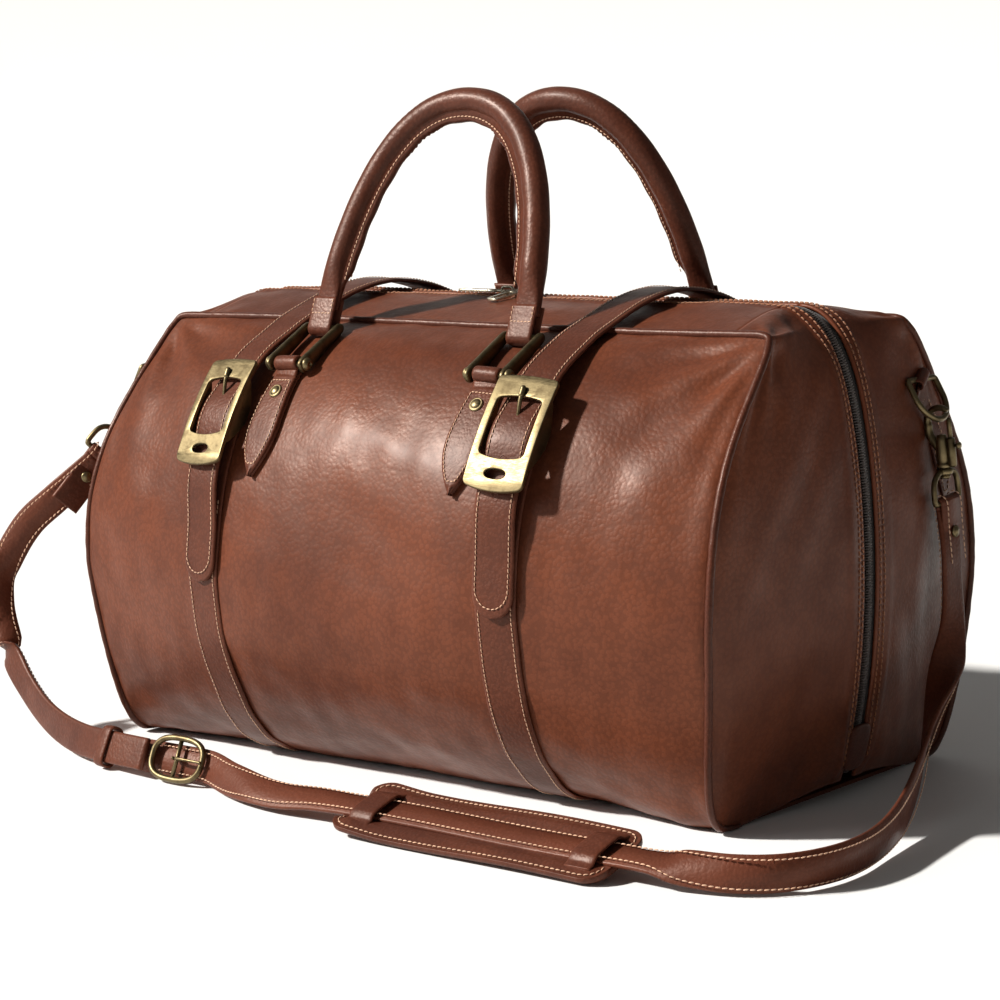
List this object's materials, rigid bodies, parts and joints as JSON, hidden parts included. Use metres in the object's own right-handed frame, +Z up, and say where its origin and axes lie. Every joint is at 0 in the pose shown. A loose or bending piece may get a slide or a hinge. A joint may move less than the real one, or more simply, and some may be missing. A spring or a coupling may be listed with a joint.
{
  "type": "weekender bag",
  "caption": "Soft leather weekender bag with two rolled handles, belted closure straps, a zip over the top and ends, and a clip-on shoulder strap.",
  "frame": {"origin": "middle of the base, on the surface that the bag stands on", "axes": "+X along the bag's length, -Y is the front with the buckles, +Z up"},
  "size_m": [0.7365, 0.4547, 0.4536],
  "materials": {
    "body_hide": "semi-gloss pebble grain, reddish brown",
    "strap_hide": "semi-gloss, fine grain, reddish brown",
    "edge_hide": "semi-gloss, smooth over the piping cord",
    "zip_tape": "woven tape, dark brown",
    "zip_coil": "moulded coil, dark brown",
    "lining": "plain woven cotton",
    "board": "pressed fibre board",
    "core": "twisted paper cord",
    "brass": "antique brass, brushed with dark recesses",
    "zip_metal": "pale antique brass, polished"
  },
  "bodies": {
    "root": {"front_panel": "body_hide", "back_panel": "body_hide", "top_strip_front": "body_hide", "top_strip_back": "body_hide", "right_end_front": "body_hide", "right_end_back": "body_hide", "left_end_front": "body_hide", "left_end_back": "body_hide", "base_panel": "body_hide", "zip_end_tabs": "body_hide", "piping_front": "edge_hide", "piping_back": "edge_hide", "zip_tape": "zip_tape", "zip_coil": "zip_coil", "lining": "lining", "base_board": "board", "lower_strap_left": "strap_hide", "lower_strap_right": "strap_hide", "upper_strap_left": "strap_hide", "upper_strap_right": "strap_hide", "anchor_tab_front_left": "strap_hide", "anchor_tab_front_right": "strap_hide", "anchor_tab_back_left": "strap_hide", "anchor_tab_back_right": "strap_hide", "ring_tab_left": "strap_hide", "ring_tab_right": "strap_hide", "shoulder_strap_long": "strap_hide", "shoulder_strap_short": "strap_hide", "strap_keeper": "strap_hide", "buckle_left": "brass", "buckle_right": "brass", "tab_rivets": "brass", "swivel_eye_left": "brass", "swivel_eye_right": "brass", "strap_buckle": "brass", "strap_rivets": "brass"},
    "front_links": {"shackle_front_left": "brass", "shackle_front_right": "brass", "shackle_pins_front": "brass"},
    "back_links": {"shackle_back_left": "brass", "shackle_back_right": "brass", "shackle_pins_back": "brass"},
    "front_handle": {"handle_front": "strap_hide", "handle_core_front": "core"},
    "back_handle": {"handle_back": "strap_hide", "handle_core_back": "core"},
    "left_tongue": {"buckle_tongue_left": "brass"},
    "right_tongue": {"buckle_tongue_right": "brass"},
    "left_ring": {"d_ring_left": "brass"},
    "right_ring": {"d_ring_right": "brass"},
    "left_hook": {"snap_hook_left": "brass"},
    "right_hook": {"snap_hook_right": "brass"},
    "left_bolt": {"snap_bolt_left": "brass"},
    "right_bolt": {"snap_bolt_right": "brass"},
    "left_slider": {"slider_left": "zip_metal"},
    "right_slider": {"slider_right": "zip_metal"},
    "left_puller": {"puller_left": "zip_metal"},
    "right_puller": {"puller_right": "zip_metal"},
    "strap_tongue": {"strap_buckle_tongue": "brass"},
    "pad": {"shoulder_pad": "strap_hide"}
  },
  "joints": [
    {"name": "front_shackle_swing", "type": "hinge", "parent": "root", "child": "front_links", "pos_m": [0, -0.13736, 0.27397], "axis": [1, 0, 0], "range_deg": [0, 45]},
    {"name": "back_shackle_swing", "type": "hinge", "parent": "root", "child": "back_links", "pos_m": [0, 0.13736, 0.27397], "axis": [-1, 0, 0], "range_deg": [0, 45]},
    {"name": "front_handle_tilt", "type": "hinge", "parent": "front_links", "child": "front_handle", "pos_m": [0, -0.10308, 0.29457], "axis": [1, 0, 0], "range_deg": [-12, 120]},
    {"name": "back_handle_tilt", "type": "hinge", "parent": "back_links", "child": "back_handle", "pos_m": [0, 0.10308, 0.29457], "axis": [-1, 0, 0], "range_deg": [-12, 120]},
    {"name": "left_tongue_lift", "type": "hinge", "parent": "root", "child": "left_tongue", "pos_m": [-0.12555, -0.15826, 0.23823], "axis": [0.995, -0.0847, 0.0533], "range_deg": [0, 20]},
    {"name": "right_tongue_lift", "type": "hinge", "parent": "root", "child": "right_tongue", "pos_m": [0.12555, -0.15826, 0.23823], "axis": [0.995, 0.0847, -0.0533], "range_deg": [0, 20]},
    {"name": "left_ring_swing", "type": "hinge", "parent": "root", "child": "left_ring", "pos_m": [-0.26781, -0.08174, 0.26077], "axis": [0, 1, 0], "range_deg": [-5, 5]},
    {"name": "right_ring_swing", "type": "hinge", "parent": "root", "child": "right_ring", "pos_m": [0.26781, 0.08174, 0.26077], "axis": [0, -1, 0], "range_deg": [-5, 5]},
    {"name": "left_hook_swivel", "type": "hinge", "parent": "root", "child": "left_hook", "pos_m": [-0.2823, -0.08174, 0.23566], "axis": [0.3501, 0.5391, 0.766], "range_deg": [-12, 12]},
    {"name": "right_hook_swivel", "type": "hinge", "parent": "root", "child": "right_hook", "pos_m": [0.2823, 0.08174, 0.23366], "axis": [-0.0475, -0.0931, 0.9945], "range_deg": [-12, 12]},
    {"name": "left_bolt_pull", "type": "slide", "parent": "left_hook", "child": "left_bolt", "axis": [-0.3501, -0.5391, -0.766], "range_m": [0, 0.008], "stiffness_N_per_m": 150},
    {"name": "right_bolt_pull", "type": "slide", "parent": "right_hook", "child": "right_bolt", "axis": [0.0475, 0.0931, -0.9945], "range_m": [0, 0.008], "stiffness_N_per_m": 150},
    {"name": "left_slider_run", "type": "slide", "parent": "root", "child": "left_slider", "axis": [-1, 0, 0], "range_m": [0, 0.08]},
    {"name": "right_slider_run", "type": "slide", "parent": "root", "child": "right_slider", "axis": [1, 0, 0], "range_m": [0, 0.08]},
    {"name": "left_puller_flip", "type": "hinge", "parent": "left_slider", "child": "left_puller", "pos_m": [-0.009, 0, 0.3155], "axis": [0, 1, 0], "range_deg": [0, 120]},
    {"name": "right_puller_flip", "type": "hinge", "parent": "right_slider", "child": "right_puller", "pos_m": [0.009, 0, 0.3181], "axis": [-0.9903, 0.1392, 0], "range_deg": [0, 120]},
    {"name": "strap_tongue_lift", "type": "hinge", "parent": "root", "child": "strap_tongue", "pos_m": [-0.118, -0.222, 0.0164], "axis": [0, -0.4067, -0.9135], "range_deg": [0, 30]},
    {"name": "pad_slide", "type": "slide", "parent": "root", "child": "pad", "axis": [1, 0, 0], "range_m": [-0.015, 0.015]}
  ]
}
